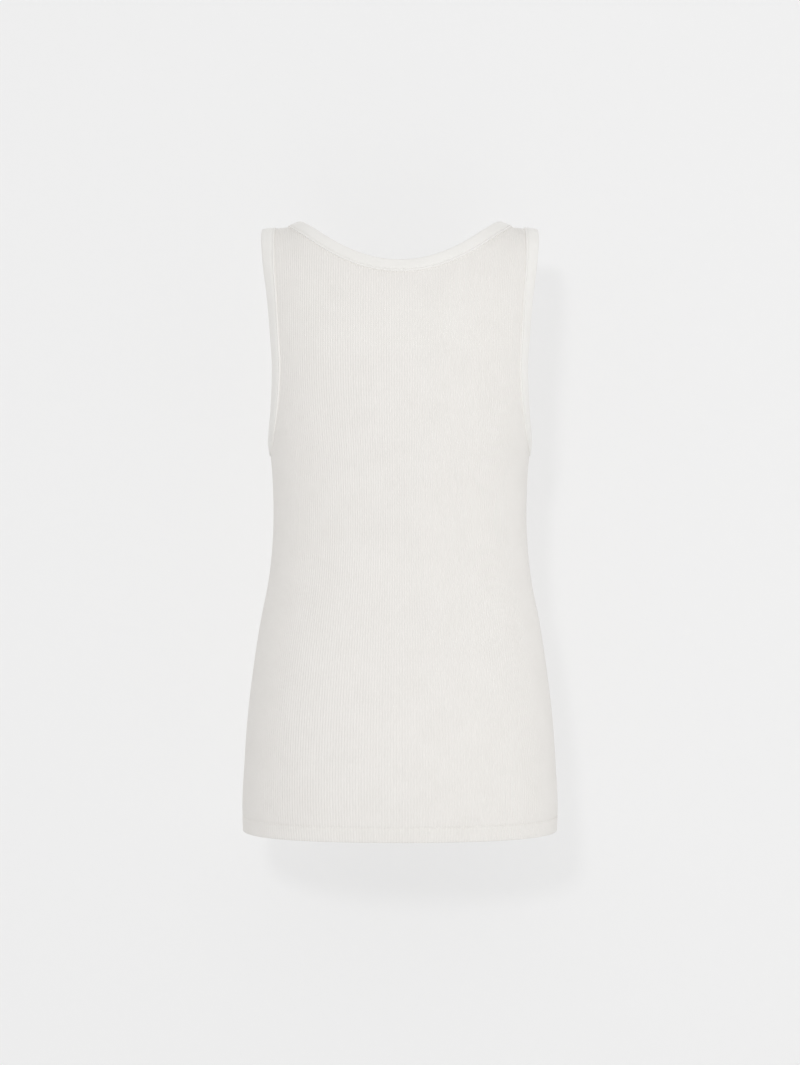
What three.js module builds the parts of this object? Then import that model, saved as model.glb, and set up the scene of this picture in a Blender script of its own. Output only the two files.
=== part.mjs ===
// A fine-rib sleeveless top that keeps the hollow form it has when worn.
// Millimetres, +Z up, the front faces -Y and the wearer's left is +X.
// The origin lies midway between the straps, level with their tops beside the neck.
//
// The cloth follows one smooth form. A place on it is given by the face (front or back), by
// "around", the angle from the middle of that face (0) to the side seam (90 degrees), and by
// "height", which is z up to the shoulder blades and then runs on over the shoulder, so that both
// faces meet along the shoulder line at height SHOULDER_LINE.
import * as THREE from "three";

// ---- Cloth and sewing ----
const CLOTH = 1.2; // one layer of the rib
const BINDING_CLOTH = 1.0; // the binding strip is pressed thinner
const SEAM_GAP = 0.3; // clear space between two pieces that are sewn together
const BINDING_WIDTH = 14.4; // finished width of the neck and armhole bindings
const HEM_HEIGHT = 15; // cloth turned up inside at the hem
const HEM_STEP = 0.6; // height over which the turned-up layer ends

// ---- Places on the form ----
const HEM = -627; // height of the hem
const UNDERARM = -228; // lowest point of the armhole edge, at the side seam
const ARMHOLE_STRAIGHTENS = -140; // height where the armhole's round bottom ends
const ARCH_START = -140; // above this the faces bend over towards the shoulder line
const SHOULDER_LINE = 10;
const SIDE_SEAM = THREE.MathUtils.degToRad(90);
const NECK_HALF_WIDTH = 101.5;
const STRAP_TIP = 142.3; // x of the armhole edge on the shoulder line
const FULLNESS = 0.106; // how much squarer than an ellipse a section is

const BACK = { side: 1, depth: "back", neckDrop: 85.5, armholeReach: THREE.MathUtils.degToRad(29) };
const FRONT = { side: -1, depth: "front", neckDrop: 150, armholeReach: THREE.MathUtils.degToRad(35) };

// Sections of the form from the hem to the shoulder line: the half width at the side seams, and how
// far the middle of the back and of the front stand from the plane through the side seams.
const SECTIONS = [
  { height: -627, halfWidth: 160.5, back: 108, front: 97 },
  { height: -600, halfWidth: 161.5, back: 113, front: 100 },
  { height: -560, halfWidth: 159.5, back: 117, front: 102 },
  { height: -510, halfWidth: 156, back: 116, front: 102 },
  { height: -452, halfWidth: 149, back: 109, front: 99 },
  { height: -411, halfWidth: 142.5, back: 102, front: 96 },
  { height: -370, halfWidth: 134.5, back: 96, front: 94 },
  { height: -329, halfWidth: 130.3, back: 93, front: 95 },
  { height: -288, halfWidth: 129.6, back: 94, front: 101 },
  { height: -246, halfWidth: 132, back: 97, front: 109 },
  { height: -207, halfWidth: 137, back: 101, front: 115 },
  { height: -170, halfWidth: 141, back: 103, front: 116 },
  { height: -140, halfWidth: 143, back: 103, front: 113 },
  { height: -100, halfWidth: 149, back: 102, front: 109 },
  { height: -65, halfWidth: 157, back: 101, front: 105 },
  { height: -30, halfWidth: 162.5, back: 100, front: 102 },
  { height: 10, halfWidth: 164.5, back: 100, front: 100 },
];

// The shoulder line's z, out from the neck: it climbs where the strap runs up the base of the neck.
const SHOULDER_SLOPE = [
  { x: 0, z: 7 },
  { x: 60, z: 5 },
  { x: 88, z: 2 },
  { x: 101, z: -2 },
  { x: 109, z: -5.6 },
  { x: 116, z: -7.4 },
  { x: 128, z: -8.7 },
  { x: 142, z: -10.8 },
  { x: 165, z: -16 },
];

// ---- Mesh fineness ----
const HALF_NECK_STEPS = 10; // columns between the middle of a face and the neck corner
const STRAP_STEPS = 2; // columns between the two bindings on a strap
const ROUND_STEPS = 6; // rows along the armhole's round bottom
const STRAP_ROWS = 7; // rows from there to the shoulder line
const UNDERARM_ROWS = 3; // rows on the side seam between the plain body and the armhole
const BODY_ROWS = 11; // rows of the plain body between the hem and there
const BODY_TOP = -300; // height where the plain body's level rows end

// ---- The form ----
function table(rows, key, columns) {
  const places = rows.map((row) => row[key]);
  const values = rows.flatMap((row) => columns.map((column) => row[column]));
  const curve = new THREE.CubicInterpolant(places, values, columns.length);
  return (place) => {
    const inside = THREE.MathUtils.clamp(place, places[0], places[places.length - 1]);
    const found = curve.evaluate(inside);
    return Object.fromEntries(columns.map((column, i) => [column, found[i]]));
  };
}

const sectionAt = table(SECTIONS, "height", ["halfWidth", "back", "front"]);
const shoulderAt = table(SHOULDER_SLOPE, "x", ["z"]);

function formPoint(face, around, height) {
  const section = sectionAt(height);
  const sine = Math.sin(around);
  const cosine = Math.cos(around);
  const x = section.halfWidth * sine * (1 + FULLNESS * cosine * cosine);
  const out = section[face.depth] * cosine * (1 + FULLNESS * sine * sine);
  if (height <= ARCH_START) return new THREE.Vector3(x, face.side * out, height);
  const bend = ((height - ARCH_START) / (SHOULDER_LINE - ARCH_START)) * (Math.PI / 2);
  const rise = shoulderAt(Math.abs(x)).z - ARCH_START;
  return new THREE.Vector3(x, face.side * out * Math.cos(bend), ARCH_START + rise * Math.sin(bend));
}

// How the form's surface runs at a place: per radian around, per millimetre of height, and outwards.
function formSlopes(face, around, height) {
  const turn = 1e-3;
  const lift = 0.05;
  const aroundSlope = formPoint(face, around + turn, height)
    .sub(formPoint(face, around - turn, height))
    .divideScalar(2 * turn);
  const above = height + (height < SHOULDER_LINE ? lift : 0);
  const heightSlope = formPoint(face, around, above)
    .sub(formPoint(face, around, height - lift))
    .divideScalar(above - height + lift);
  if (height >= SHOULDER_LINE) heightSlope.set(0, heightSlope.y, 0);
  const outward = aroundSlope.clone().cross(heightSlope).normalize().multiplyScalar(-face.side);
  return { aroundSlope, heightSlope, outward };
}

// The angle around at which the form reaches x, at one height.
function aroundForX(height, x) {
  let low = 0;
  let high = SIDE_SEAM;
  for (let i = 0; i < 40; i += 1) {
    const middle = (low + high) / 2;
    if (formPoint(BACK, middle, height).x < x) low = middle;
    else high = middle;
  }
  return (low + high) / 2;
}

// ---- The cut edges, on the wearer's left half ----
// A binding folds round the raw edge, so the cloth stops short of the finished edge.
const FOLD = SEAM_GAP + BINDING_CLOTH;
const UNDER_BINDING = BINDING_WIDTH - FOLD;

// step runs from 0 at the middle of the face to 1 at the shoulder line.
function neckEdge(face, step) {
  const turn = step * (Math.PI / 2);
  const height = SHOULDER_LINE - (face.neckDrop + FOLD) * Math.cos(turn);
  const x = (NECK_HALF_WIDTH + FOLD) * Math.sin(turn);
  return { around: aroundForX(height, x), height };
}

// step runs from 0 at the side seam to 1 at the shoulder line.
function armholeEdge(face, step) {
  const roundShare = ROUND_STEPS / (ROUND_STEPS + STRAP_ROWS);
  const straightAround = SIDE_SEAM - face.armholeReach;
  if (step <= roundShare) {
    const turn = (step / roundShare) * (Math.PI / 2);
    const rise = (ARMHOLE_STRAIGHTENS - UNDERARM) * (1 - Math.cos(turn));
    return { around: SIDE_SEAM - face.armholeReach * Math.sin(turn), height: UNDERARM - FOLD + rise };
  }
  const climb = (step - roundShare) / (1 - roundShare);
  const start = ARMHOLE_STRAIGHTENS - FOLD;
  const height = start + (SHOULDER_LINE - start) * climb;
  const tipAround = aroundForX(SHOULDER_LINE, STRAP_TIP - FOLD);
  const ease = climb * climb * (3 - 2 * climb);
  return { around: straightAround + (tipAround - straightAround) * ease, height };
}

// Walks over the form from an edge into the cloth, square to the edge, by the width under a binding.
function walkIn(face, edge, step, inwardSign) {
  const start = edge(face, step);
  const slopes = formSlopes(face, start.around, start.height);
  const before = edge(face, Math.max(0, step - 0.01));
  const after = edge(face, Math.min(1, step + 0.01));
  const along = formPoint(face, after.around, after.height)
    .sub(formPoint(face, before.around, before.height));
  if (step === 1) along.set(0, -face.side, 0);
  if (step === 0 && edge === armholeEdge) along.set(0, face.side, 0);
  if (step === 0 && edge === neckEdge) along.set(1, 0, 0);
  const inward = slopes.outward.clone().cross(along).normalize().multiplyScalar(inwardSign * face.side);
  const place = { around: start.around, height: start.height };
  const paces = 6;
  for (let i = 0; i < paces; i += 1) {
    const here = formSlopes(face, place.around, place.height);
    const pace = inward.clone().projectOnPlane(here.outward).setLength(UNDER_BINDING / paces);
    const a = here.aroundSlope;
    const h = here.heightSlope;
    const det = a.dot(a) * h.dot(h) - a.dot(h) ** 2;
    place.around += (pace.dot(a) * h.dot(h) - pace.dot(h) * a.dot(h)) / det;
    place.height += (pace.dot(h) * a.dot(a) - pace.dot(a) * a.dot(h)) / det;
  }
  if (step === 0 && edge === armholeEdge) place.around = SIDE_SEAM;
  if (step === 0 && edge === neckEdge) place.around = 0;
  if (step === 1) place.height = SHOULDER_LINE;
  return place;
}

function edgeStations(face, edge, count, inwardSign) {
  return Array.from({ length: count + 1 }, (_, i) => {
    const step = i / count;
    return { step, raw: edge(face, step), inner: walkIn(face, edge, step, inwardSign) };
  });
}

// ---- Panels ----
const blend = (from, to, share) => ({
  around: from.around + (to.around - from.around) * share,
  height: from.height + (to.height - from.height) * share,
});

// Places for the wearer's left half of a panel: a grid of rows from the hem up and columns from the
// middle of the face out, with one more strip of cloth along each bound edge.
function halfPanel(face) {
  const neck = edgeStations(face, neckEdge, HALF_NECK_STEPS, 1);
  const armhole = edgeStations(face, armholeEdge, ROUND_STEPS + STRAP_ROWS, -1);
  const columns = HALF_NECK_STEPS + STRAP_STEPS;
  const underarm = armhole[0].inner;
  const level = (height) => Array.from({ length: columns + 1 }, (_, column) => ({
    around: (SIDE_SEAM * column) / columns,
    height,
  }));

  const hemRows = [HEM, HEM + HEM_HEIGHT, HEM + HEM_HEIGHT + HEM_STEP];
  const rows = hemRows.map(level);
  for (let row = 1; row <= BODY_ROWS; row += 1) {
    rows.push(level(hemRows[2] + ((BODY_TOP - hemRows[2]) * row) / BODY_ROWS));
  }

  // The top block is spanned between its four sides.
  const bottom = rows[rows.length - 1];
  const side = Array.from({ length: UNDERARM_ROWS }, (_, i) => (
    blend(bottom[columns], underarm, (i + 1) / UNDERARM_ROWS)));
  side.unshift(bottom[columns]);
  armhole.slice(1).forEach((station) => side.push(station.inner));
  const top = neck.map((station) => station.inner);
  const tip = armhole[armhole.length - 1].inner;
  for (let i = 1; i <= STRAP_STEPS; i += 1) {
    top.push(blend(neck[HALF_NECK_STEPS].inner, tip, i / STRAP_STEPS));
  }
  const last = side.length - 1;
  for (let row = 1; row <= last; row += 1) {
    const up = row / last;
    const middle = blend(bottom[0], top[0], up);
    rows.push(bottom.map((_, column) => {
      const across = column / columns;
      const ruled = blend(bottom[column], top[column], up);
      const cross = blend(middle, side[row], across);
      const corners = blend(blend(bottom[0], bottom[columns], across), blend(top[0], top[columns], across), up);
      return {
        around: ruled.around + cross.around - corners.around,
        height: ruled.height + cross.height - corners.height,
      };
    }));
  }
  return { rows, columns, neck, armhole, underarmRow: rows.length - armhole.length };
}

// A sheet is a list of points on the form with their outward directions, and faces between them.
function panelSheet(face) {
  const half = halfPanel(face);
  const sheet = { points: [], faces: [] };
  const known = new Map();
  const vertex = (name, place, mirrored) => {
    const key = `${name}:${Math.abs(place.around) < 1e-9 ? "" : mirrored}`;
    if (!known.has(key)) {
      const at = formPoint(face, place.around, place.height);
      const { outward } = formSlopes(face, place.around, place.height);
      at.y = face.side * Math.max(face.side * at.y, SEAM_GAP / 2);
      if (mirrored) at.x = -at.x;
      if (mirrored) outward.x = -outward.x;
      known.set(key, sheet.points.length);
      sheet.points.push({ at, outward, place });
    }
    return known.get(key);
  };
  for (const mirrored of [false, true]) {
    const flip = mirrored !== (face === BACK);
    const quad = (a, b, c, d) => sheet.faces.push(flip ? [a, d, c, b] : [a, b, c, d]);
    const grid = (row, column) => vertex(`grid ${row} ${column}`, half.rows[row][column], mirrored);
    const neckRaw = (i) => vertex(`neck ${i}`, half.neck[i].raw, mirrored);
    const armholeRaw = (i) => vertex(`armhole ${i}`, half.armhole[i].raw, mirrored);
    const topRow = half.rows.length - 1;
    for (let row = 0; row < topRow; row += 1) {
      for (let column = 0; column < half.columns; column += 1) {
        quad(grid(row, column), grid(row, column + 1), grid(row + 1, column + 1), grid(row + 1, column));
      }
    }
    for (let i = 0; i < HALF_NECK_STEPS; i += 1) {
      quad(grid(topRow, i), grid(topRow, i + 1), neckRaw(i + 1), neckRaw(i));
    }
    for (let i = 0; i < half.armhole.length - 1; i += 1) {
      const row = half.underarmRow + i;
      quad(grid(row, half.columns), armholeRaw(i), armholeRaw(i + 1), grid(row + 1, half.columns));
    }
  }
  return sheet;
}

function solidMesh(name, vertices, triangles, colour, roughness) {
  const geometry = new THREE.BufferGeometry();
  geometry.setAttribute("position", new THREE.Float32BufferAttribute(vertices.flatMap((v) => v.toArray()), 3));
  geometry.setIndex(triangles.flat());
  geometry.computeVertexNormals();
  const material = new THREE.MeshStandardMaterial({ color: colour, roughness, metalness: 0 });
  const mesh = new THREE.Mesh(geometry, material);
  mesh.name = name;
  return mesh;
}

// A panel is its sheet given thickness, with a second layer inside along the hem.
function panel(name, face) {
  const sheet = panelSheet(face);
  const count = sheet.points.length;
  const outer = sheet.points.map(({ at, outward }) => at.clone().addScaledVector(outward, CLOTH / 2));
  const inner = sheet.points.map(({ at, outward, place }) => {
    const turnedUp = place.height <= HEM + HEM_HEIGHT + 1e-6 ? CLOTH + SEAM_GAP / 2 : 0;
    return at.clone().addScaledVector(outward, -CLOTH / 2 - turnedUp);
  });
  const triangles = [];
  const openEdges = new Map();
  for (const [a, b, c, d] of sheet.faces) {
    triangles.push([a, b, c], [a, c, d]);
    triangles.push([count + a, count + c, count + b], [count + a, count + d, count + c]);
    for (const [from, to] of [[a, b], [b, c], [c, d], [d, a]]) {
      if (!openEdges.delete(`${to} ${from}`)) openEdges.set(`${from} ${to}`, [from, to]);
    }
  }
  for (const [from, to] of openEdges.values()) {
    triangles.push([from, count + from, to], [to, count + from, count + to]);
  }
  return solidMesh(name, [...outer, ...inner], triangles, CLOTH_COLOUR, 0.9);
}

// ---- Bindings ----
// The strip's section: along is measured from the raw edge into the cloth, off from the cloth's
// middle layer outwards. It runs over the outer leaf, round the fold, and back inside.
const LEAF_NEAR = CLOTH / 2 + SEAM_GAP;
const LEAF_FAR = LEAF_NEAR + BINDING_CLOTH;
const BINDING_SECTION = [
  { along: UNDER_BINDING, off: LEAF_FAR },
  { along: 0, off: LEAF_FAR },
  { along: -0.7 * FOLD, off: 0.78 * LEAF_FAR },
  { along: -FOLD, off: 0.3 * LEAF_FAR },
  { along: -FOLD, off: -0.3 * LEAF_FAR },
  { along: -0.7 * FOLD, off: -0.78 * LEAF_FAR },
  { along: 0, off: -LEAF_FAR },
  { along: UNDER_BINDING, off: -LEAF_FAR },
  { along: UNDER_BINDING, off: -LEAF_NEAR },
  { along: -SEAM_GAP, off: -LEAF_NEAR },
  { along: -SEAM_GAP, off: LEAF_NEAR },
  { along: UNDER_BINDING, off: LEAF_NEAR },
];

// A station's two ends in space: the raw edge and the place under the binding's inner edge.
function stationEnds(face, station, mirrored) {
  const [raw, inner] = [station.raw, station.inner].map((place) => {
    const at = formPoint(face, place.around, place.height);
    const { outward } = formSlopes(face, place.around, place.height);
    if (mirrored) at.x = -at.x;
    if (mirrored) outward.x = -outward.x;
    return { at, outward };
  });
  return { step: station.step, raw, inner };
}

function binding(name, stations) {
  const vertices = stations.flatMap(({ raw, inner }) => {
    const into = inner.at.clone().sub(raw.at).normalize();
    return BINDING_SECTION.map(({ along, off }) => {
      if (along <= 0) return raw.at.clone().addScaledVector(into, along).addScaledVector(raw.outward, off);
      return inner.at.clone().addScaledVector(inner.outward, off);
    });
  });
  const size = BINDING_SECTION.length;
  const triangles = stations.flatMap((station, i) => BINDING_SECTION.flatMap((corner, j) => {
    const next = (i + 1) % stations.length;
    const following = (j + 1) % size;
    const a = i * size + j;
    const b = i * size + following;
    const c = next * size + following;
    const d = next * size + j;
    // Each leaf is split along the same diagonals as the cloth it lies on.
    const stepsOn = stations[next].step > station.step;
    const runsOut = BINDING_SECTION[following].along < corner.along;
    return stepsOn === runsOut ? [[a, c, b], [a, d, c]] : [[a, d, b], [b, d, c]];
  }));
  return solidMesh(name, vertices, triangles, BINDING_COLOUR, 0.85);
}

function neckBinding() {
  const ring = [];
  for (const face of [BACK, FRONT]) {
    const stations = edgeStations(face, neckEdge, HALF_NECK_STEPS, 1);
    const plain = stations.map((station) => stationEnds(face, station, false));
    const mirrored = stations.map((station) => stationEnds(face, station, true));
    // The back runs from the wearer's left shoulder to the right one, and the front runs back.
    const across = face === BACK
      ? [...plain.slice(0).reverse(), ...mirrored.slice(1)]
      : [...mirrored.slice(0, -1).reverse(), ...plain.slice(1, -1)];
    ring.push(...across);
  }
  return binding("neck_binding", ring);
}

function armholeBinding(name, mirrored) {
  const count = ROUND_STEPS + STRAP_ROWS;
  const ends = (face) => edgeStations(face, armholeEdge, count, -1)
    .map((station) => stationEnds(face, station, mirrored));
  const ring = [...ends(BACK), ...ends(FRONT).slice(1, -1).reverse()];
  return binding(name, mirrored ? ring.reverse() : ring);
}

// ---- The garment ----
const CLOTH_COLOUR = 0xe8e7e3;
const BINDING_COLOUR = 0xecebe7;

const group = new THREE.Group();
group.name = "ribbed_tank_top";
group.add(panel("front_panel", FRONT));
group.add(panel("back_panel", BACK));
group.add(neckBinding());
group.add(armholeBinding("left_armhole_binding", false));
group.add(armholeBinding("right_armhole_binding", true));

export default group;
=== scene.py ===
"""A fine-rib sleeveless top in its hollow worn form: panels, bindings, stitching and a plain studio."""

import math

import bmesh
import bpy
import numpy as np
from mathutils import Matrix, Vector


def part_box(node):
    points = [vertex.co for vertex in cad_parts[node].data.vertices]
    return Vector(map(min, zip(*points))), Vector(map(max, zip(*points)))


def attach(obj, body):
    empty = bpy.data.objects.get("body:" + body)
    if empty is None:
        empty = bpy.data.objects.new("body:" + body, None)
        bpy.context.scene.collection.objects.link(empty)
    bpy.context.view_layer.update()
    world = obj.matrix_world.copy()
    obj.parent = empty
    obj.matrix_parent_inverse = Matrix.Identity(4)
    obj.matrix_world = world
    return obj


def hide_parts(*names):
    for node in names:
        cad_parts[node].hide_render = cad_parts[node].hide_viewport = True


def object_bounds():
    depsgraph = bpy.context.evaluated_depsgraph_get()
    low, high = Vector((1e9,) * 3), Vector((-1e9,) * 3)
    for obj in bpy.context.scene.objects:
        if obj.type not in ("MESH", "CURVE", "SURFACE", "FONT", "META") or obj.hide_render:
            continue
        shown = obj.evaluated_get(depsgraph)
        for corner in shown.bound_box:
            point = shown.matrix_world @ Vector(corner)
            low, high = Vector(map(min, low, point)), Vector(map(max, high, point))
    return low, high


bl_info = {
    "name": "Ribbed tank top",
    "version": (1, 0, 0),
    "blender": (4, 5, 0),
    "location": "3D View > Sidebar > Tank top",
    "description": "Builds a fine-rib sleeveless top with bound edges, stitching and a plain studio",
    "category": "Mesh",
}

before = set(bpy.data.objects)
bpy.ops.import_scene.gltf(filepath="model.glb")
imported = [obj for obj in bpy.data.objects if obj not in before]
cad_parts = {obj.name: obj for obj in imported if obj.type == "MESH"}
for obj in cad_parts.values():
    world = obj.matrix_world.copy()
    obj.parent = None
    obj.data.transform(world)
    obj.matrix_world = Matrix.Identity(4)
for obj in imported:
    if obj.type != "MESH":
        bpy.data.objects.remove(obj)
CAD_LOW, CAD_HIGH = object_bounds()
MM = 0.001

# ---- The worn form, in millimetres, as the construction has it ----
HEM = round(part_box("back_panel")[0][2] / MM)
HEM_HEIGHT = 15.0
UNDERARM = -228.0
ARMHOLE_STRAIGHTENS = -140.0
ARCH_START = -140.0
SHOULDER_LINE = 10.0
NECK_HALF_WIDTH = 101.5
STRAP_TIP = 142.3
FULLNESS = 0.106
FOLD = 1.3
UNDER_BINDING = 13.1
ROUND_SHARE = 6 / 13
SIDE = math.pi / 2

FACES = {
    "back": {"side": 1, "column": 2, "neck_drop": 85.5, "reach": math.radians(29), "node": "back_panel"},
    "front": {"side": -1, "column": 3, "neck_drop": 150.0, "reach": math.radians(35), "node": "front_panel"},
}

# Each row: height, half width at the side seams, depth of the back, depth of the front.
SECTIONS = np.array([
    (-627, 160.5, 108, 97),
    (-600, 161.5, 113, 100),
    (-560, 159.5, 117, 102),
    (-510, 156, 116, 102),
    (-452, 149, 109, 99),
    (-411, 142.5, 102, 96),
    (-370, 134.5, 96, 94),
    (-329, 130.3, 93, 95),
    (-288, 129.6, 94, 101),
    (-246, 132, 97, 109),
    (-207, 137, 101, 115),
    (-170, 141, 103, 116),
    (-140, 143, 103, 113),
    (-100, 149, 102, 109),
    (-65, 157, 101, 105),
    (-30, 162.5, 100, 102),
    (10, 164.5, 100, 100),
], dtype=float)

# Each row: distance from the middle, z of the shoulder line there.
SHOULDER_SLOPE = np.array([
    (0, 7), (60, 5), (88, 2), (101, -2), (109, -5.6), (116, -7.4), (128, -8.7), (142, -10.8), (165, -16),
], dtype=float)

RIBS = 156  # ribs across one panel
POINTS_A_RIB = 5
ROWS = 98

# Offsets of the laid cloth from the middle of its wall, in millimetres.
OUTER_FACE = 0.5
INNER_FACE = 1.25
TRIM_UNDER_BINDING = 2.0
SEAM_DIP = 0.45
SEAM_DIP_WIDTH = 1.4
SEAM_TUCK = 1.5
SEAM_TUCK_WIDTH = 0.9
HEM_BULK = 0.35
HEM_BULK_STEP = 0.8
HEM_GROOVE = 0.42
HEM_GROOVE_WIDTH = 1.1
SHOULDER_GAP = 0.06


def smooth_table(rows, column, place):
    """A smooth curve through one column of a table, with the mean of the neighbouring slopes at each row."""
    keys, values = rows[:, 0], rows[:, column]
    secants = np.diff(values) / np.diff(keys)
    slopes = np.concatenate([secants[:1], (secants[:-1] + secants[1:]) / 2, secants[-1:]])
    place = np.clip(place, keys[0], keys[-1])
    i = np.clip(np.searchsorted(keys, place, side="right") - 1, 0, len(keys) - 2)
    span = keys[i + 1] - keys[i]
    p = (place - keys[i]) / span
    start = (1 + 2 * p) * (1 - p) ** 2 * values[i] + p * (1 - p) ** 2 * span * slopes[i]
    return start + p * p * (3 - 2 * p) * values[i + 1] + p * p * (p - 1) * span * slopes[i + 1]


def half_width(height):
    return smooth_table(SECTIONS, 1, height)


def across_share(around):
    return np.sin(around) * (1 + FULLNESS * np.cos(around) ** 2)


def form_point(face, around, height):
    """Points of the form, in millimetres, for arrays of angle round from the middle and of height."""
    x = half_width(height) * across_share(around)
    depth = smooth_table(SECTIONS, face["column"], height)
    out = depth * np.cos(around) * (1 + FULLNESS * np.sin(around) ** 2)
    bend = np.maximum(0, (height - ARCH_START) / (SHOULDER_LINE - ARCH_START)) * (math.pi / 2)
    rise = smooth_table(SHOULDER_SLOPE, 1, np.abs(x)) - ARCH_START
    z = np.where(height > ARCH_START, ARCH_START + rise * np.sin(bend), height)
    return np.stack([x, face["side"] * out * np.cos(bend), z], axis=-1)


def form_outward(face, around, height):
    """Unit directions out of the form."""
    turn, lift = 1e-3, 0.05
    a = form_point(face, around + turn, height) - form_point(face, around - turn, height)
    top = np.minimum(height + lift, SHOULDER_LINE)
    h = form_point(face, around, top) - form_point(face, around, height - lift)
    h[np.abs(height - SHOULDER_LINE) < 1e-6] *= (0, 1, 0)
    out = np.cross(a, h) * -face["side"]
    return out / np.linalg.norm(out, axis=-1, keepdims=True)


TURNS = np.linspace(0, SIDE, 181)


def around_for_x(height, x):
    """The angle round at which the form reaches x, at each height."""
    share = np.clip(np.abs(x) / half_width(height), 0, 1)
    return np.sign(x) * np.interp(share, across_share(TURNS), TURNS)


def neck_edge(face, step):
    """The panel's raw neck edge: step is 0 in the middle and 1 on the shoulder line."""
    turn = step * math.pi / 2
    height = SHOULDER_LINE - (face["neck_drop"] + FOLD) * np.cos(turn)
    return around_for_x(height, (NECK_HALF_WIDTH + FOLD) * np.sin(turn)), height


def armhole_edge(face, step):
    """The panel's raw armhole edge: step is 0 at the side seam and 1 on the shoulder line."""
    turn = np.clip(step / ROUND_SHARE, 0, 1) * math.pi / 2
    low = UNDERARM - FOLD + (ARMHOLE_STRAIGHTENS - UNDERARM) * (1 - np.cos(turn))
    climb = np.clip((step - ROUND_SHARE) / (1 - ROUND_SHARE), 0, 1)
    height = low + (SHOULDER_LINE - ARMHOLE_STRAIGHTENS + FOLD) * climb
    tip = around_for_x(np.array(SHOULDER_LINE), np.array(STRAP_TIP - FOLD))
    straight = SIDE - face["reach"]
    ease = climb * climb * (3 - 2 * climb)
    return SIDE - face["reach"] * np.sin(turn) + (tip - straight) * ease, height


def walk_in(face, edge, steps, inward_sign):
    """Walks over the form from an edge to the binding's inner edge, square to the edge."""
    around, height = edge(face, steps)
    before = form_point(face, *edge(face, np.maximum(0, steps - 0.004)))
    along = form_point(face, *edge(face, np.minimum(1, steps + 0.004))) - before
    along[steps >= 1] = (0, -face["side"], 0)
    along[steps <= 0] = (0, face["side"], 0) if edge is armhole_edge else (1, 0, 0)
    inward = np.cross(form_outward(face, around, height), along) * inward_sign * face["side"]
    paces = 6
    for _ in range(paces):
        out = form_outward(face, around, height)
        a = (form_point(face, around + 1e-3, height) - form_point(face, around - 1e-3, height)) / 2e-3
        top = np.minimum(height + 0.05, SHOULDER_LINE)
        h = form_point(face, around, top) - form_point(face, around, height - 0.05)
        h /= (top - height + 0.05)[..., None]
        h[np.abs(height - SHOULDER_LINE) < 1e-6] *= (0, 1, 0)
        pace = inward - np.sum(inward * out, -1, keepdims=True) * out
        pace *= UNDER_BINDING / paces / np.linalg.norm(pace, axis=-1, keepdims=True)
        aa, hh, ah = np.sum(a * a, -1), np.sum(h * h, -1), np.sum(a * h, -1)
        pa, ph = np.sum(pace * a, -1), np.sum(pace * h, -1)
        det = aa * hh - ah * ah
        around = around + (pa * hh - ph * ah) / det
        height = np.minimum(height + (ph * aa - pa * ah) / det, SHOULDER_LINE)
    height = np.where(steps >= 1, SHOULDER_LINE, height)
    if edge is armhole_edge:
        around = np.where(steps <= 0, SIDE, around)
    return around, height


# ---- Meshes and objects ----
def finish_piece(name, bm, materials, smooth=True):
    mesh = bpy.data.meshes.new(name)
    bm.to_mesh(mesh)
    bm.free()
    for polygon in mesh.polygons:
        polygon.use_smooth = smooth
    piece = bpy.data.objects.new(name, mesh)
    bpy.context.scene.collection.objects.link(piece)
    for material in materials:
        mesh.materials.append(material)
    return piece


def grid_of(bm, columns, rows):
    """A flat grid, with its vertices in rows, ready to be laid over the form."""
    made = bmesh.ops.create_grid(bm, x_segments=columns, y_segments=rows, size=1.0)["verts"]
    return sorted(made, key=lambda v: (round(v.co.y, 6), round(v.co.x, 6)))


def set_uv(bm, values):
    layer = bm.loops.layers.uv.verify()
    for face in bm.faces:
        for loop in face.loops:
            loop[layer].uv = values[loop.vert]


# ---- Materials ----
def link(tree, source, socket):
    tree.links.new(source, socket)


def math_node(tree, operation, a, b=None):
    node = tree.nodes.new("ShaderNodeMath")
    node.operation = operation
    for socket, value in zip(node.inputs, (a, b)):
        if value is None:
            continue
        if isinstance(value, (int, float)):
            socket.default_value = value
        else:
            link(tree, value, socket)
    return node.outputs[0]


def knit_group():
    """Rows of knitted loops. X of Pattern counts ribs and Y counts courses."""
    tree = bpy.data.node_groups.get("knit loops")
    if tree:
        return tree
    tree = bpy.data.node_groups.new("knit loops", "ShaderNodeTree")
    tree.interface.new_socket("Pattern", in_out="INPUT", socket_type="NodeSocketVector")
    tree.interface.new_socket("Height", in_out="OUTPUT", socket_type="NodeSocketFloat")
    tree.interface.new_socket("Shade", in_out="OUTPUT", socket_type="NodeSocketFloat")
    inside = tree.nodes.new("NodeGroupInput")
    outside = tree.nodes.new("NodeGroupOutput")
    split = tree.nodes.new("ShaderNodeSeparateXYZ")
    link(tree, inside.outputs["Pattern"], split.inputs[0])
    rib = math_node(tree, "FRACT", split.outputs["X"])
    lean = math_node(tree, "ABSOLUTE", math_node(tree, "SUBTRACT", rib, 0.5))
    course = math_node(tree, "ADD", split.outputs["Y"], math_node(tree, "MULTIPLY", lean, 1.1))
    wave = math_node(tree, "SINE", math_node(tree, "MULTIPLY", course, math.tau))
    loops = math_node(tree, "MULTIPLY_ADD", wave, 0.5)
    loops.node.inputs[2].default_value = 0.5
    crest = math_node(tree, "SINE", math_node(tree, "MULTIPLY", rib, math.pi))
    link(tree, math_node(tree, "MULTIPLY", loops, crest), outside.inputs["Height"])
    # Shade is the rib profile used to paint shade into the valleys between the ribs
    link(tree, math_node(tree, "POWER", crest, 0.6), outside.inputs["Shade"])
    return tree


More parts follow.
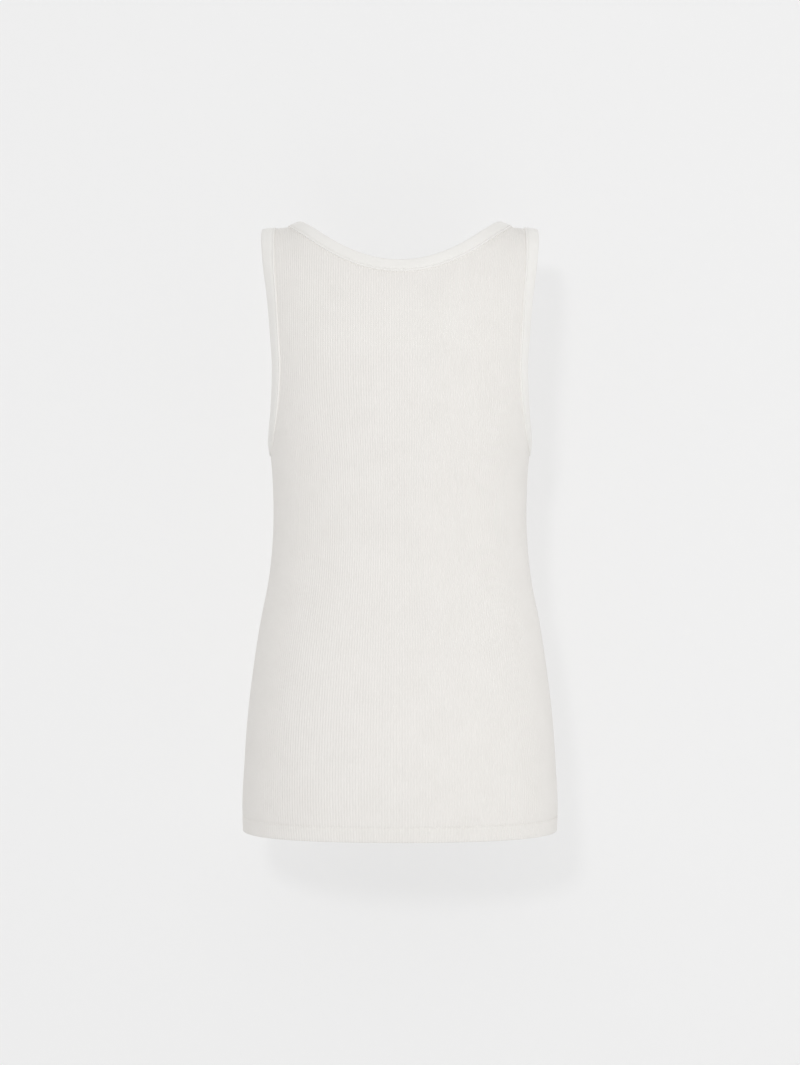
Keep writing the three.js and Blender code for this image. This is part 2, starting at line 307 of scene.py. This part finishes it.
def cloth_material(name, colour, shadow_colour, bump_mm, shade_share):
    """Matt knitted cotton: loops from the piece's own UV map, painted shade in the valleys between the ribs,
    faint unevenness and a soft sheen.
    """
    material = bpy.data.materials.new(name)
    material.use_nodes = True
    tree = material.node_tree
    shader = tree.nodes["Principled BSDF"]
    uv = tree.nodes.new("ShaderNodeUVMap")
    knit = tree.nodes.new("ShaderNodeGroup")
    knit.node_tree = knit_group()
    link(tree, uv.outputs[0], knit.inputs["Pattern"])

    where = tree.nodes.new("ShaderNodeTexCoord")
    cloud = tree.nodes.new("ShaderNodeTexNoise")
    cloud.inputs["Scale"].default_value = 38
    cloud.inputs["Detail"].default_value = 4
    link(tree, where.outputs["Object"], cloud.inputs["Vector"])
    fibre = tree.nodes.new("ShaderNodeTexNoise")
    fibre.inputs["Scale"].default_value = 2600
    fibre.inputs["Detail"].default_value = 2
    link(tree, where.outputs["Object"], fibre.inputs["Vector"])

    uneven = math_node(tree, "MULTIPLY", cloud.outputs["Fac"], 0.35)
    # Painted shade: the mix falls towards the shadow colour in the valleys between the ribs; the cloud adds
    # random tone
    shade = math_node(tree, "MULTIPLY", knit.outputs["Shade"], shade_share)
    mixed = math_node(tree, "ADD", math_node(tree, "ADD", shade, uneven), 0.8 - shade_share)
    tint = tree.nodes.new("ShaderNodeMix")
    tint.data_type = "RGBA"
    tint.inputs["A"].default_value = (*shadow_colour, 1)
    tint.inputs["B"].default_value = (*colour, 1)
    link(tree, mixed, tint.inputs["Factor"])
    link(tree, tint.outputs["Result"], shader.inputs["Base Color"])

    fuzz = math_node(tree, "MULTIPLY", fibre.outputs["Fac"], 0.5)
    height = math_node(tree, "ADD", knit.outputs["Height"], fuzz)
    bump = tree.nodes.new("ShaderNodeBump")
    bump.inputs["Strength"].default_value = 0.6
    bump.inputs["Distance"].default_value = bump_mm * MM
    link(tree, height, bump.inputs["Height"])
    link(tree, bump.outputs[0], shader.inputs["Normal"])
    rough = tree.nodes.new("ShaderNodeMapRange")
    rough.inputs["To Min"].default_value = 0.82
    rough.inputs["To Max"].default_value = 0.96
    link(tree, fibre.outputs["Fac"], rough.inputs["Value"])
    link(tree, rough.outputs[0], shader.inputs["Roughness"])
    shader.inputs["Specular IOR Level"].default_value = 0.25
    shader.inputs["Sheen Weight"].default_value = 0.12
    shader.inputs["Sheen Roughness"].default_value = 0.5
    return material


def wanted_material(name, *recipe):
    return bpy.data.materials.get(name) or cloth_material(name, *recipe)


def rib_cloth(settings):
    return wanted_material("rib cloth", settings.cloth_colour[:], settings.cloth_shadow[:], 0.22, 0.14)


def binding_cloth(settings):
    return wanted_material("binding cloth", settings.binding_colour[:], settings.cloth_shadow[:], 0.14, 0.06)


def thread(settings):
    return wanted_material("sewing thread", settings.binding_colour[:], settings.cloth_shadow[:], 0.05, 0.05)


# ---- Panels ----
def rib_arounds(face, height, shares):
    """Where each rib lies round the form at one height: evenly spaced over the cloth up to the
    shoulder blades, and straight up from there."""
    level = np.full(len(TURNS), min(height, ARCH_START))
    ring = form_point(face, TURNS, level)
    length = np.concatenate([[0], np.cumsum(np.linalg.norm(np.diff(ring, axis=0), axis=1))])
    turns = np.interp(np.abs(shares), length / length[-1], TURNS)
    if height > ARCH_START:
        x = half_width(np.array(ARCH_START)) * across_share(turns)
        turns = around_for_x(np.full(len(x), height), x)
    return np.sign(shares) * turns, length[-1]


def outside_cut(face, around, height, margin):
    """True beyond the raw neck or armhole edge, drawn in by a margin that the bindings cover."""
    turn = np.abs(around)
    x = half_width(height) * across_share(turn)
    drop = face["neck_drop"] + FOLD + margin
    neck_width = NECK_HALF_WIDTH + FOLD + margin
    below = np.clip((SHOULDER_LINE - height) / drop, 0, 1)
    in_neck = x < neck_width * np.sqrt(1 - below ** 2) - 1e-6
    low = UNDERARM - FOLD - margin
    cosine = np.clip(1 - (height - low) / (ARMHOLE_STRAIGHTENS - UNDERARM), 0, 1)
    straight_run = SHOULDER_LINE - ARMHOLE_STRAIGHTENS + FOLD
    climb = np.clip((height - ARMHOLE_STRAIGHTENS + FOLD) / straight_run, 0, 1)
    ease = climb * climb * (3 - 2 * climb)
    tip = around_for_x(np.array(SHOULDER_LINE), np.array(STRAP_TIP - FOLD))
    edge = SIDE - face["reach"] * np.sqrt(1 - cosine ** 2) + (tip - SIDE + face["reach"]) * ease
    edge = edge - margin / half_width(height)
    return in_neck | ((height > low) & (turn > edge))


def lay_panel(bm, face, columns, place_rows, ribbed, settings):
    """Lays one grid over the form. place_rows holds (height, inset) pairs from the lowest row up."""
    verts = grid_of(bm, columns, len(place_rows) - 1)
    shares = np.linspace(-1, 1, columns + 1)
    rib_phase = shares * RIBS / 2
    uvs = {}
    cut = set()
    travelled = 0.0
    last_height = place_rows[0][0]
    for row, (height, inset) in enumerate(place_rows):
        around, quarter = rib_arounds(face, height, shares)
        heights = np.full(len(around), height)
        points = form_point(face, around, heights)
        outward = form_outward(face, around, heights)
        offset = np.full(len(around), OUTER_FACE - inset)
        if ribbed:
            offset += settings.rib_depth / MM / 2 * np.cos(math.tau * rib_phase)
            seam = (1 - np.abs(shares)) * quarter
            tuck = SEAM_TUCK * np.clip(1 - seam / SEAM_TUCK_WIDTH, 0, 1)
            offset -= SEAM_DIP * np.exp(-(seam / SEAM_DIP_WIDTH) ** 2) + tuck
            near_line = height - (HEM + HEM_HEIGHT)
            offset += HEM_BULK / (1 + math.exp(np.clip(near_line / HEM_BULK_STEP, -30, 30)))
            offset -= HEM_GROOVE * math.exp(-(near_line / HEM_GROOVE_WIDTH) ** 2)
        points += outward * offset[:, None]
        side = face["side"]
        points[:, 1] = side * np.maximum(side * points[:, 1], SHOULDER_GAP)
        gone = outside_cut(face, around, heights, TRIM_UNDER_BINDING)
        travelled += abs(height - last_height) + (3 if inset and not row else 0)
        last_height = height
        for column, point in enumerate(points):
            vert = verts[row * (columns + 1) + column]
            vert.co = Vector(point) * MM
            uvs[vert] = (rib_phase[column] + 0.5, travelled / settings.course_pitch * MM)
            if gone[column]:
                cut.add(vert)
    return uvs, cut


def panel_rows():
    """Rows of the outer cloth from the turned-up hem inside, round its fold, to the shoulder line."""
    body = np.linspace(HEM + HEM_HEIGHT + 3, SHOULDER_LINE, ROWS - 9)
    hem = [HEM + d for d in (0.7, 3, 7, 11, 13, 14.2, 15, 15.8, 16.8)]
    turned = [(HEM + d, 2.6) for d in (15, 8, 1.2)] + [(HEM, 1.9), (HEM - 0.25, 1.0), (HEM, 0.3)]
    return turned + [(h, 0.0) for h in hem] + [(h, 0.0) for h in body]


def make_panel(face_name, settings):
    face = FACES[face_name]
    bm = bmesh.new()
    uvs, cut = lay_panel(bm, face, RIBS * POINTS_A_RIB, panel_rows(), True, settings)
    inner_rows = [(h, INNER_FACE) for h in np.linspace(HEM + 2, SHOULDER_LINE, ROWS)]
    inner = bmesh.new()
    inner_uvs, inner_cut = lay_panel(inner, face, RIBS // 2, inner_rows, False, settings)
    for mesh, gone in ((bm, cut), (inner, inner_cut)):
        bmesh.ops.delete(mesh, geom=list({f for v in gone for f in v.link_faces}), context="FACES_ONLY")
        loose = [v for v in mesh.verts if not v.link_faces]
        bmesh.ops.delete(mesh, geom=loose, context="VERTS")
    set_uv(bm, uvs)
    set_uv(inner, inner_uvs)
    turn_faces(bm, face, True)
    turn_faces(inner, face, False)
    holder = bpy.data.meshes.new("inner cloth")
    inner.to_mesh(holder)
    inner.free()
    bm.from_mesh(holder)
    bpy.data.meshes.remove(holder)
    piece = finish_piece(face_name + "_panel_cloth", bm, [rib_cloth(settings)])
    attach(piece, "root")
    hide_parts(face["node"])
    return piece


def turn_faces(bm, face, outwards):
    """Turns a laid grid so that its faces point out of the garment, or into it."""
    bm.normal_update()
    sample = max(bm.faces, key=lambda f: face["side"] * f.calc_center_median().y)
    points_out = sample.normal.y * face["side"] > 0
    if points_out != outwards:
        bmesh.ops.reverse_faces(bm, faces=bm.faces[:])


# ---- Bindings ----
# The folded strip's section: distance in from the panel's raw edge, and distance off its middle.
BINDING_SECTION = [
    (13.1, 0.9), (13.05, 1.45), (12.6, 1.85), (11.7, 1.95), (11.0, 1.5), (10.6, 1.5), (9.9, 2.0),
    (8.0, 2.15), (5.0, 2.2), (2.0, 2.15), (0.4, 1.95), (-0.75, 1.4), (-1.3, 0.5), (-1.3, -0.5),
    (-0.75, -1.4), (0.4, -1.9), (5.0, -2.05), (12.4, -1.9), (13.05, -1.5), (13.1, -0.9),
]
OUTER_LEAF = 8  # the place in the section whose length paces the ribs
STITCH_LINE = 10.8  # distance of the stitching from the raw edge
STATIONS = 96


def edge_ends(face, edge, sign, steps):
    """Places and outward directions along a raw edge and along the binding's inner edge."""
    ends = []
    for around, height in (edge(face, steps), walk_in(face, edge, steps, sign)):
        ends.append((form_point(face, around, height), form_outward(face, around, height)))
    return ends


def strip_ring(edge, sign):
    """The closed run of an edge: the back from step 0 to 1, then the front from 1 to 0.
    A neck edge is run over both halves."""
    steps = np.linspace(0, 1, STATIONS + 1)
    back = edge_ends(FACES["back"], edge, sign, steps)
    front = edge_ends(FACES["front"], edge, sign, steps)
    ring = []
    for (b_at, b_out), (f_at, f_out) in zip(back, front):
        if edge is armhole_edge:
            ring.append((np.concatenate([b_at, f_at[-2:0:-1]]), np.concatenate([b_out, f_out[-2:0:-1]])))
            continue
        flip = np.array([-1, 1, 1])
        at = [b_at, f_at[-2::-1], (f_at * flip)[1:], (b_at * flip)[-2:0:-1]]
        out = [b_out, f_out[-2::-1], (f_out * flip)[1:], (b_out * flip)[-2:0:-1]]
        ring.append((np.concatenate(at), np.concatenate(out)))
    return ring


def strip_point(raw, inner, along, off):
    """Points at one place of the section, all round the ring."""
    (raw_at, raw_out), (in_at, in_out) = raw, inner
    into = in_at - raw_at
    share = max(0.0, along / UNDER_BINDING)
    if along <= 0:
        unit = into / np.linalg.norm(into, axis=1, keepdims=True)
        return raw_at + unit * along + raw_out * off
    return raw_at + into * share + (raw_out * (1 - share) + in_out * share) * off


def make_binding(name, node, edge, sign, mirror, settings):
    raw, inner = strip_ring(edge, sign)
    count, size = len(raw[0]), len(BINDING_SECTION)
    flip = np.array([-1 if mirror else 1, 1, 1])
    bm = bmesh.new()
    verts = grid_of(bm, size, count)
    lines = [strip_point(raw, inner, along, off) * flip for along, off in BINDING_SECTION]
    crown = lines[OUTER_LEAF]
    lengths = np.linalg.norm(np.roll(crown, -1, axis=0) - crown, axis=1)
    run = np.concatenate([[0], np.cumsum(lengths)])
    uvs = {}
    for row in range(count + 1):
        for column in range(size + 1):
            vert = verts[row * (size + 1) + column]
            vert.co = Vector(lines[column % size][row % count]) * MM
            across = BINDING_SECTION[column % size][0]
            uvs[vert] = (run[row] / settings.binding_rib * MM, across / settings.course_pitch * MM)
    set_uv(bm, uvs)
    bmesh.ops.remove_doubles(bm, verts=bm.verts[:], dist=1e-6)
    bmesh.ops.recalc_face_normals(bm, faces=bm.faces[:])
    piece = finish_piece(name, bm, [binding_cloth(settings)])
    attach(piece, "root")
    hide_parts(node)
    return piece


# ---- Stitching ----
def even_places(points, pitch):
    """Evenly spaced middles and directions along a closed line of points."""
    closed = np.concatenate([points, points[:1]])
    lengths = np.linalg.norm(np.diff(closed, axis=0), axis=1)
    run = np.concatenate([[0], np.cumsum(lengths)])
    count = int(run[-1] / pitch)
    at = (np.arange(count) + 0.5) * run[-1] / count
    middles = np.stack([np.interp(at, run, closed[:, k]) for k in range(3)], axis=1)
    ahead = np.stack([np.interp((at + 0.5) % run[-1], run, closed[:, k]) for k in range(3)], axis=1)
    return middles, ahead - middles


def add_stitches(bm, line, outwards, settings):
    pitch = settings.stitch_length / MM
    middles, ways = even_places(line, pitch)
    for middle, way in zip(middles, ways):
        nearest = int(np.argmin(np.sum((line - middle) ** 2, axis=1)))
        x = Vector(way).normalized()
        z = Vector(outwards[nearest])
        y = z.cross(x).normalized()
        z = x.cross(y)
        turn = Matrix((x, y, z)).transposed().to_4x4()
        size = Matrix.Diagonal((pitch * 0.43, settings.thread / MM * 0.6, settings.thread / MM * 0.5, 1))
        place = Matrix.Scale(MM, 4) @ Matrix.Translation(middle) @ turn @ size
        bmesh.ops.create_uvsphere(bm, u_segments=6, v_segments=4, radius=1, matrix=place)


def make_stitches(name, runs, settings):
    bm = bmesh.new()
    for line, outwards in runs:
        add_stitches(bm, line, outwards, settings)
    piece = finish_piece(name, bm, [thread(settings)])
    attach(piece, "root")
    return piece


def binding_stitch_run(edge, sign, mirror):
    raw, inner = strip_ring(edge, sign)
    flip = np.array([-1 if mirror else 1, 1, 1])
    line = strip_point(raw, inner, STITCH_LINE, 1.6)
    share = STITCH_LINE / UNDER_BINDING
    return line * flip, (raw[1] * (1 - share) + inner[1] * share) * flip


def hem_stitch_run():
    turns = np.linspace(-SIDE, SIDE, 181)[:-1]
    lines, outs = [], []
    for name, order in (("back", 1), ("front", -1)):
        face = FACES[name]
        run = turns if order > 0 else -turns
        height = np.full(len(run), HEM + HEM_HEIGHT)
        out = form_outward(face, run, height)
        lines.append(form_point(face, run, height) + out * 0.75)
        outs.append(out)
    return np.concatenate(lines), np.concatenate(outs)


# ---- Add-on parts ----
class TankTopSettings(bpy.types.PropertyGroup):
    rib_depth: bpy.props.FloatProperty(
        name="Rib depth", description="From the crest of a rib to the valley",
        default=0.38 * MM, unit="LENGTH")
    course_pitch: bpy.props.FloatProperty(
        name="Course pitch", description="Height of one row of loops", default=1.25 * MM, unit="LENGTH")
    binding_rib: bpy.props.FloatProperty(
        name="Binding rib", description="Pitch of the ribs across the bindings",
        default=1.9 * MM, unit="LENGTH")
    stitch_length: bpy.props.FloatProperty(
        name="Stitch length", description="Distance between stitches", default=2.8 * MM, unit="LENGTH")
    thread: bpy.props.FloatProperty(
        name="Thread", description="Thickness of the sewing thread", default=0.45 * MM, unit="LENGTH")
    cloth_colour: bpy.props.FloatVectorProperty(
        name="Cloth", description="Colour of the rib crests", subtype="COLOR", default=(0.832, 0.812, 0.783))
    # Painted shade: this colour darkens the valleys between the ribs of the cloth and the bindings, and
    # tints the thread a little
    cloth_shadow: bpy.props.FloatVectorProperty(
        name="Painted valley shade", description="Painted shade between the ribs",
        subtype="COLOR", default=(0.70, 0.676, 0.640))
    binding_colour: bpy.props.FloatVectorProperty(
        name="Bindings", description="Colour of the pressed strips",
        subtype="COLOR", default=(0.862, 0.850, 0.824))


class TANKTOP_OT_panels(bpy.types.Operator):
    """Lays the ribbed cloth of the front and the back over the worn form"""

    bl_idname = "tanktop.panels"
    bl_label = "Panels"

    def execute(self, context):
        settings = context.scene.tank_top
        back = make_panel("back", settings)
        front = make_panel("front", settings)
        return {"FINISHED"}


class TANKTOP_OT_bindings(bpy.types.Operator):
    """Folds the strips round the neck and the armholes"""

    bl_idname = "tanktop.bindings"
    bl_label = "Bindings"

    def execute(self, context):
        settings = context.scene.tank_top
        neck = make_binding("neck_binding_strip", "neck_binding", neck_edge, 1, False, settings)
        for side, mirror in (("left", False), ("right", True)):
            node = side + "_armhole_binding"
            strip = make_binding(node + "_strip", node, armhole_edge, -1, mirror, settings)
        return {"FINISHED"}


class TANKTOP_OT_stitching(bpy.types.Operator):
    """Sews the edge stitching of the bindings and the hem"""

    bl_idname = "tanktop.stitching"
    bl_label = "Stitching"

    def execute(self, context):
        settings = context.scene.tank_top
        make_stitches("neck_stitching", [binding_stitch_run(neck_edge, 1, False)], settings)
        make_stitches("left_armhole_stitching", [binding_stitch_run(armhole_edge, -1, False)], settings)
        make_stitches("right_armhole_stitching", [binding_stitch_run(armhole_edge, -1, True)], settings)
        make_stitches("hem_stitching", [hem_stitch_run()], settings)
        return {"FINISHED"}


# ---- Stage, in metres ----
LOOK_AT = (0, 0, -0.3)
LENS = 82.0
SENSOR = 36.0
CAMERA_DISTANCE = 2.5
CAMERA_DROP = 0.007
WALL_BEHIND = 0.03
FLOOR_BELOW = 0.55
WORLD_TONE = 0.863
WORLD_STRENGTH = 0.83

# Each row: name, place, size, power, casts a shadow.
LIGHTS = (
    ("key", (-1.7, 3.0, -0.1), 1.6, 21, False),
    ("upper light", (0.55, 3.2, 0.55), 0.35, 16, True),
    ("front fill", (0.5, -3.0, 0.8), 2.0, 22, True),
)


def plain_material(name, level, glow, one_sided):
    """A pale stage finish with an even glow. A one-sided one shows only its front and stops no light."""
    material = bpy.data.materials.new(name)
    material.use_nodes = True
    tree = material.node_tree
    shader = tree.nodes["Principled BSDF"]
    shader.inputs["Base Color"].default_value = (level, level, level, 1)
    shader.inputs["Roughness"].default_value = 1
    shader.inputs["Specular IOR Level"].default_value = 0
    shader.inputs["Emission Color"].default_value = (1, 1, 1, 1)
    shader.inputs["Emission Strength"].default_value = glow
    if one_sided:
        clear = tree.nodes.new("ShaderNodeBsdfTransparent")
        behind = tree.nodes.new("ShaderNodeNewGeometry")
        ray = tree.nodes.new("ShaderNodeLightPath")
        choose = tree.nodes.new("ShaderNodeMixShader")
        passes = math_node(tree, "MAXIMUM", behind.outputs["Backfacing"], ray.outputs["Is Shadow Ray"])
        link(tree, passes, choose.inputs[0])
        link(tree, shader.outputs[0], choose.inputs[1])
        link(tree, clear.outputs[0], choose.inputs[2])
        link(tree, choose.outputs[0], tree.nodes["Material Output"].inputs[0])
    return material


def stage_sheet(name, centre, size, turn, material):
    bm = bmesh.new()
    bmesh.ops.create_grid(bm, x_segments=1, y_segments=1, size=size)
    bmesh.ops.rotate(bm, verts=bm.verts[:], matrix=turn)
    bmesh.ops.translate(bm, verts=bm.verts[:], vec=centre)
    sheet = finish_piece(name, bm, [material], smooth=False)
    return sheet


def soft_light(name, place, size, power, shadow):
    lamp = bpy.data.lights.new(name, "AREA")
    lamp.shape = "DISK"
    lamp.size = size
    lamp.energy = power
    lamp.use_shadow = shadow
    holder = bpy.data.objects.new(name, lamp)
    holder.location = place
    holder.rotation_euler = (Vector(LOOK_AT) - Vector(place)).to_track_quat("-Z", "Y").to_euler()
    bpy.context.scene.collection.objects.link(holder)


class TANKTOP_OT_stage(bpy.types.Operator):
    """Puts up the pale floor, the wall, the soft lights and the camera"""

    bl_idname = "tanktop.stage"
    bl_label = "Stage"

    def execute(self, context):
        scene = context.scene
        middle = (CAD_LOW + CAD_HIGH) / 2
        camera = bpy.data.cameras.new("camera")
        camera.lens = LENS
        camera.sensor_width = SENSOR
        holder = bpy.data.objects.new("camera", camera)
        holder.location = (middle.x, CAMERA_DISTANCE, middle.z - CAMERA_DROP)
        holder.rotation_euler = (math.pi / 2, 0, math.pi)
        scene.collection.objects.link(holder)
        scene.camera = holder

        wall = plain_material("wall paint", 0.42, 0.45, True)
        floor = plain_material("floor paint", 0.80, 0.0, False)
        upright = Matrix.Rotation(-math.pi / 2, 3, "X")
        stage_sheet("wall", Vector((0, CAD_LOW.y - WALL_BEHIND, 0)), 5.0, upright, wall)
        stage_sheet("floor", Vector((0, 0, CAD_LOW.z - FLOOR_BELOW)), 6.0, Matrix.Identity(3), floor)
        for light in LIGHTS:
            soft_light(*light)

        world = bpy.data.worlds.new("studio")
        world.use_nodes = True
        backdrop = world.node_tree.nodes["Background"]
        backdrop.inputs["Color"].default_value = (WORLD_TONE, WORLD_TONE, WORLD_TONE, 1)
        backdrop.inputs["Strength"].default_value = WORLD_STRENGTH
        scene.world = world
        scene.view_settings.view_transform = "Standard"
        return {"FINISHED"}


class TANKTOP_PT_panel(bpy.types.Panel):
    bl_label = "Tank top"
    bl_idname = "TANKTOP_PT_panel"
    bl_space_type = "VIEW_3D"
    bl_region_type = "UI"
    bl_category = "Tank top"

    def draw(self, context):
        for name in SETTINGS:
            self.layout.prop(context.scene.tank_top, name)
        for name in STEPS:
            self.layout.operator("tanktop." + name)


SETTINGS = (
    "rib_depth", "course_pitch", "binding_rib", "stitch_length", "thread",
    "cloth_colour", "cloth_shadow", "binding_colour",
)
STEPS = ("panels", "bindings", "stitching", "stage")
CLASSES = (
    TankTopSettings,
    TANKTOP_OT_panels,
    TANKTOP_OT_bindings,
    TANKTOP_OT_stitching,
    TANKTOP_OT_stage,
    TANKTOP_PT_panel,
)


def register():
    for cls in CLASSES:
        bpy.utils.register_class(cls)
    bpy.types.Scene.tank_top = bpy.props.PointerProperty(type=TankTopSettings)


def unregister():
    del bpy.types.Scene.tank_top
    for cls in reversed(CLASSES):
        bpy.utils.unregister_class(cls)


def main():
    register()
    for name in STEPS:
        getattr(bpy.ops.tanktop, name)()


if __name__ == "__main__":
    main()
